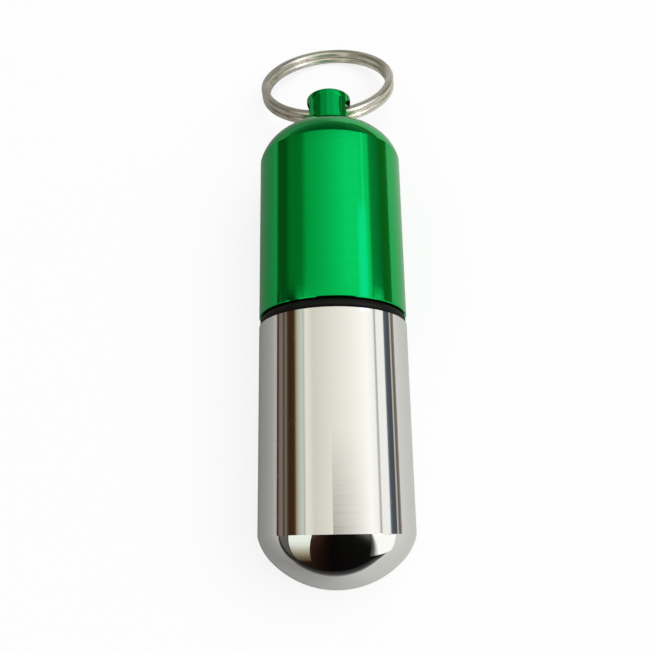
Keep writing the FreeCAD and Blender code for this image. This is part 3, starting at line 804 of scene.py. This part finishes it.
LOW_CARD_X = 63.0
LOW_CARD_JOINT = 8.0
FLAG_Y = -60.0
PALE_Y = FLAG_Y + 0.3
FLAG_EDGE = [(-50, 23.6), (-12, 18.5), (36, 18.5), (36, 42), (14, 56), (-20, 56), (-50, 36)]
FLAG_LEFT, FLAG_RIGHT = -52, 56
BACK_HALF = 400.0
BACK_FOOT, BACK_TOP = (400.0, 0.0), (440.0, 460.0)


def low_card(name, near, far, top, stops):
    """A low upright card to the right of the holder, with its colours from its foot to its top edge."""
    corners = [(LOW_CARD_X, near, 0), (LOW_CARD_X, far, 0), (LOW_CARD_X, far, top), (LOW_CARD_X, near, top)]
    put_up(card(name, corners, (0, 0, 1, 1)), lit(name, stops))


def end_card(name, y, outline, span, stops, strength=1.0):
    """An upright card beyond the vial's end, from the x and z of its corners."""
    put_up(card(name, [(x, y, z) for x, z in outline], span), lit(name, stops, strength))


low_card("low_card_far", near=LOW_CARD_JOINT, far=TENT_BACK, top=20, stops=[
    (0.0, (0.3, 0.3, 0.2)), (0.25, (0.2, 0.2, 0.08)), (1.0, (0.19, 0.19, 0.07))])
low_card("low_card_right", near=FLAG_Y, far=LOW_CARD_JOINT, top=24, stops=[
    (0.0, (0.35, 0.33, 0.30)), (0.18, (0.16, 0.13, 0.10)), (0.3, (0.16, 0.13, 0.10)),
    (0.36, (0.5, 0.5, 0.47)), (0.44, (0.5, 0.5, 0.47)), (0.5, (0.07, 0.08, 0.09)),
    (0.85, (0.08, 0.10, 0.12)), (1.0, (0.22, 0.25, 0.27))])
flag_span = [(x - FLAG_LEFT) / (FLAG_RIGHT - FLAG_LEFT) for x, z in FLAG_EDGE]
end_card("black_flag", FLAG_Y, FLAG_EDGE, flag_span, [
    (0.0, (0.14, 0.13, 0.12)), (0.278, (0.10, 0.095, 0.085)), (0.352, (0.042, 0.019, 0.013)),
    (0.398, (0.025, 0.010, 0.007)), (0.435, (0.009, 0.005, 0.003)), (0.472, (0.003, 0.002, 0.002)),
    (0.63, (0.005, 0.006, 0.005)), (0.676, (0.02, 0.02, 0.018)), (0.73, (0.1, 0.1, 0.09)),
    (1.0, (0.3, 0.3, 0.3))])
foot_edge = [(-50, 21.1), (-12, 15.3), (36, 15.3), (36, 18.5), (-12, 18.5), (-50, 23.6)]
end_card("flag_foot", FLAG_Y, foot_edge, (0, 0, 0, 1, 1, 1), [
    (0.0, (0.30, 0.30, 0.29)), (0.35, (0.06, 0.06, 0.06)), (1.0, (0.004, 0.004, 0.004))])
end_card("pale_card_left", PALE_Y, [(-12.5, 18.6), (-7.6, 21.5), (-20.4, 54), (-46, 38.5)], (0, 0, 1, 1), [
    (0.0, (0.04, 0.03, 0.02)), (0.1, (0.2, 0.17, 0.1)), (0.22, (0.45, 0.42, 0.33)), (0.4, (0.78, 0.82, 0.72)),
    (0.6, (0.9, 0.96, 0.88)), (1.0, (0.95, 1.0, 0.93))])
end_card("pale_card_right", PALE_Y, [(12.2, 21), (24, 13), (54, 13), (33, 44.3)], (0, 0.31, 1, 0), [
    (0.0, (0.02, 0.02, 0.02)), (0.05, (0.12, 0.12, 0.11)), (0.12, (1.0, 1.0, 0.97)), (1.0, (1.0, 1.0, 0.97))],
    strength=1.1)
back_corners = [(-BACK_HALF, *BACK_FOOT), (BACK_HALF, *BACK_FOOT),
                (BACK_HALF, *BACK_TOP), (-BACK_HALF, *BACK_TOP)]
put_up(card("dark_card_back", back_corners, (0, 0, 1, 1)),
       lit("dark_card_back", [(0.0, (0.32, 0.32, 0.30)), (0.16, (0.2, 0.2, 0.17)), (0.4, (0.12, 0.12, 0.10)),
                              (1.0, (0.11, 0.11, 0.09))]))

SHEET_HALF = 440.0
SHEET_LEVEL = -0.01
# The grey table sheet carries painted shade across it: darker on the left, away from the lamp, darkest just
# left of the holder, and lighter to the right.
table_sheet_painted_shade, tree = new_material("table_sheet_painted_shade")
ramp = ramp_node(tree, [(0.0, (0.54, 0.54, 0.52)), (0.2, (0.51, 0.51, 0.49)), (0.41, (0.36, 0.36, 0.345)),
                        (0.47, (0.28, 0.28, 0.27)), (0.49, (0.36, 0.36, 0.35)), (0.515, (0.58, 0.58, 0.56)),
                        (0.56, (0.66, 0.66, 0.64)), (1.0, (0.68, 0.68, 0.66))])
matt = place_node(tree, "BsdfDiffuse", {"Color": ramp.outputs[0]})
place_node(tree, "OutputMaterial", {"Surface": matt.outputs[0]})
put_up(card("table_sheet_painted_shade", [(x * SHEET_HALF, y * SHEET_HALF, SHEET_LEVEL) for x, y in SQUARE]), table_sheet_painted_shade)

# A soft shade lies on the near part of the tent, deepest straight overhead.
SHADE_BLACK = (0.02, 0.015, 0.015, 1.0)
shade_card, tree = new_material("shade_card")
chart = place_node(tree, "UVMap", uv_map="span")
spread = place_node(tree, "SeparateXYZ", {0: chart.outputs["UV"]})
across = place_node(tree, "MapRange", {"Value": spread.outputs["X"], "To Min": 0.5, "To Max": 0.0})
along = place_node(tree, "MapRange", {"Value": spread.outputs["Y"], "From Min": 0.45, "To Min": 1.0,
                                      "To Max": 0.0})
depth = place_node(tree, "Math", {0: across.outputs[0], 1: along.outputs[0]}, operation="MULTIPLY")
clear = place_node(tree, "BsdfTransparent")
dark = place_node(tree, "Emission", {"Color": SHADE_BLACK, "Strength": 1.0})
mixed = place_node(tree, "MixShader", {0: depth.outputs[0], 1: clear.outputs[0], 2: dark.outputs[0]})
place_node(tree, "OutputMaterial", {"Surface": mixed.outputs[0]})
put_up(arch("shade_card", radius=TENT_RADIUS - 5, start=0, end=55, near=-110, far=30), shade_card)


# Light: one broad lamp overhead to the right, which gives the holder its soft shadow, and an even white room
# that shows in the metal and behind the floor.
LAMP_SIZE = 900.0
LAMP_WATTS = 9.0
LAMP_PLACE = Vector((500.0, 100.0, 1100.0))
ROOM_FILL = 0.55
lamp = bpy.data.lights.new("broad_lamp", "AREA")
lamp.shape = "SQUARE"
lamp.size = LAMP_SIZE * MM
lamp.energy = LAMP_WATTS
broad_lamp = bpy.data.objects.new("broad_lamp", lamp)
bpy.context.scene.collection.objects.link(broad_lamp)
broad_lamp.location = LAMP_PLACE * MM
broad_lamp.rotation_euler = (-LAMP_PLACE).to_track_quat("-Z", "Y").to_euler()
broad_lamp.visible_glossy = False

room = bpy.data.worlds.new("white_room")
bpy.context.scene.world = room
room.use_nodes = True
tree = room.node_tree
tree.nodes.clear()
level = place_node(tree, "MapRange", {"Value": directly_seen(tree), "To Min": ROOM_FILL, "To Max": 1.0})
glow = place_node(tree, "Background", {"Color": (1.0, 1.0, 1.0, 1.0), "Strength": level.outputs[0]})
place_node(tree, "OutputWorld", {"Surface": glow.outputs[0]})


# Camera: close above the vial's end and a little to its right, with the capsule upright in the frame, as the
# photograph was taken.
CAMERA_PLACE = Vector((10.71, -46.47, 136.87))
CAMERA_LENS = 42.27
SENSOR_WIDTH = 36.0
CLIP_START = 5.0
view_back = Vector((0.0926, -0.2821, 0.9549)).normalized()
view_up = Vector((0.0434, 0.9593, 0.2792))
view_right = view_up.cross(view_back).normalized()
view_up = view_back.cross(view_right)
camera = bpy.data.objects.new("camera", bpy.data.cameras.new("camera"))
bpy.context.scene.collection.objects.link(camera)
camera.data.sensor_width = SENSOR_WIDTH
camera.data.lens = CAMERA_LENS
camera.data.clip_start = CLIP_START * MM
turned = Matrix((view_right, view_up, view_back)).transposed().to_4x4()
camera.matrix_world = Matrix.Translation(CAMERA_PLACE * MM) @ turned
bpy.context.scene.camera = camera
bpy.context.scene.view_settings.view_transform = "Standard"
